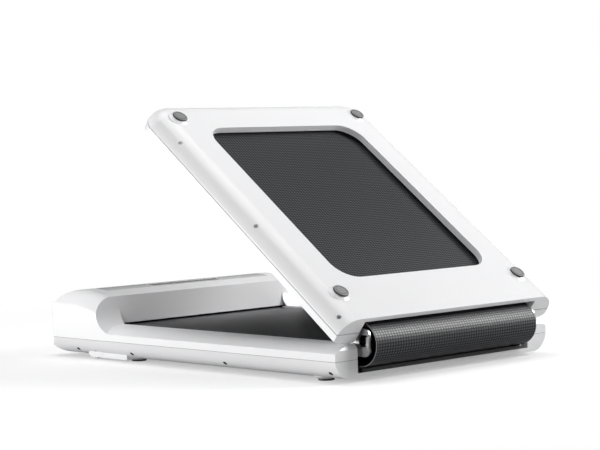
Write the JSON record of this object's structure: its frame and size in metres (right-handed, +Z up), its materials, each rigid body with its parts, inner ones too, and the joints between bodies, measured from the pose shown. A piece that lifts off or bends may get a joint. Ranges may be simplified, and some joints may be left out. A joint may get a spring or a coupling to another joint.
{
  "type": "walking pad",
  "caption": "Folding walking pad with slim side rails, a raised motor housing, a two-axis hinge at its middle and a walking belt that rolls round the fold.",
  "frame": {"origin": "on the floor, in the middle of the half-open pad's footprint", "axes": "+X across the pad, +Y from the hinge towards the motor end, +Z up"},
  "size_m": [0.547, 0.8304, 0.4708],
  "materials": {
    "white_shell": "fine satin grain",
    "gloss_white": "glossy",
    "smoked": "translucent grey window",
    "belt": "fine woven grain",
    "rubber": "plain",
    "wheel_rubber": "plain",
    "dark_paint": "powder coat",
    "deck_board": "lacquered board",
    "bright_steel": "zinc plated",
    "bronze": "sintered",
    "circuit": "solder mask",
    "heat_sink_metal": "bare",
    "pulley_metal": "turned",
    "motor_paint": "satin",
    "black_plastic": "satin"
  },
  "bodies": {
    "front_half": {"front_upper_shell": "white_shell", "front_lower_cover": "white_shell", "front_frame": "dark_paint", "front_deck": "deck_board", "front_deck_mounts": "rubber", "front_feet": "rubber", "front_cover_screws": "bright_steel", "front_belt": "belt", "front_belt_guide": "dark_paint", "front_hinge_brackets": "bright_steel", "front_hinge_pins": "bright_steel", "front_hinge_washers": "bronze", "top_strip": "gloss_white", "display_window": "smoked", "display_board": "circuit", "drive_roller_bearings": "bright_steel", "drive_motor": "motor_paint", "motor_cradle": "bright_steel", "ribbed_belt": "rubber", "control_board": "circuit", "heat_sink": "heat_sink_metal", "mains_inlet": "black_plastic", "switch_frame": "black_plastic", "wheel_pins": "bright_steel"},
    "hinge_link": {"hinge_links": "bright_steel", "hinge_bushes": "bronze", "hinge_tie_rod": "bright_steel", "belt_loop": "belt", "belt_fold": "belt"},
    "rear_half": {"rear_upper_shell": "white_shell", "rear_lower_cover": "white_shell", "rear_frame": "dark_paint", "rear_deck": "deck_board", "rear_deck_mounts": "rubber", "rear_feet": "rubber", "rear_cover_screws": "bright_steel", "rear_belt": "belt", "rear_hinge_brackets": "bright_steel", "rear_hinge_pins": "bright_steel", "rear_hinge_washers": "bronze", "tail_axle": "bright_steel", "tension_bolts": "bright_steel"},
    "drive_roller_body": {"drive_roller": "bright_steel", "drive_roller_pulley": "pulley_metal"},
    "motor_rotor": {"motor_shaft": "bright_steel", "motor_pulley": "pulley_metal"},
    "tail_roller_body": {"tail_roller": "bright_steel", "tail_roller_bearings": "bright_steel"},
    "left_wheel_body": {"left_wheel": "wheel_rubber"},
    "right_wheel_body": {"right_wheel": "wheel_rubber"},
    "rocker_body": {"switch_rocker": "black_plastic"}
  },
  "joints": [
    {"name": "lower_fold", "type": "hinge", "parent": "front_half", "child": "hinge_link", "pos_m": [0, -0.36996, 0.0515], "axis": [1, 0, 0], "range_deg": [0, 90], "deforming": ["belt_loop", "belt_fold"]},
    {"name": "upper_fold", "type": "hinge", "parent": "hinge_link", "child": "rear_half", "pos_m": [0, -0.36996, 0.0795], "axis": [1, 0, 0], "range_deg": [-37, 53], "deforming": ["belt_loop", "belt_fold"]},
    {"name": "drive_roller_spin", "type": "hinge", "parent": "front_half", "child": "drive_roller_body", "pos_m": [0, 0.28503, 0.0425], "axis": [1, 0, 0], "continuous": true},
    {"name": "motor_spin", "type": "hinge", "parent": "front_half", "child": "motor_rotor", "pos_m": [0, 0.35503, 0.0585], "axis": [1, 0, 0], "continuous": true},
    {"name": "tail_roller_spin", "type": "hinge", "parent": "rear_half", "child": "tail_roller_body", "pos_m": [0, 0.07904, 0.42912], "axis": [1, 0, 0], "continuous": true},
    {"name": "left_wheel_spin", "type": "hinge", "parent": "front_half", "child": "left_wheel_body", "pos_m": [-0.248, 0.27953, 0.0165], "axis": [1, 0, 0], "continuous": true},
    {"name": "right_wheel_spin", "type": "hinge", "parent": "front_half", "child": "right_wheel_body", "pos_m": [0.248, 0.27953, 0.0165], "axis": [1, 0, 0], "continuous": true},
    {"name": "power_rocker", "type": "hinge", "parent": "front_half", "child": "rocker_body", "pos_m": [-0.09, 0.41003, 0.051], "axis": [1, 0, 0], "range_deg": [-16, 0]}
  ],
  "couplings": [
    {"joint": "motor_spin", "follows": "drive_roller_spin", "ratio": 2.7},
    {"joint": "tail_roller_spin", "follows": "drive_roller_spin", "ratio": 1}
  ]
}
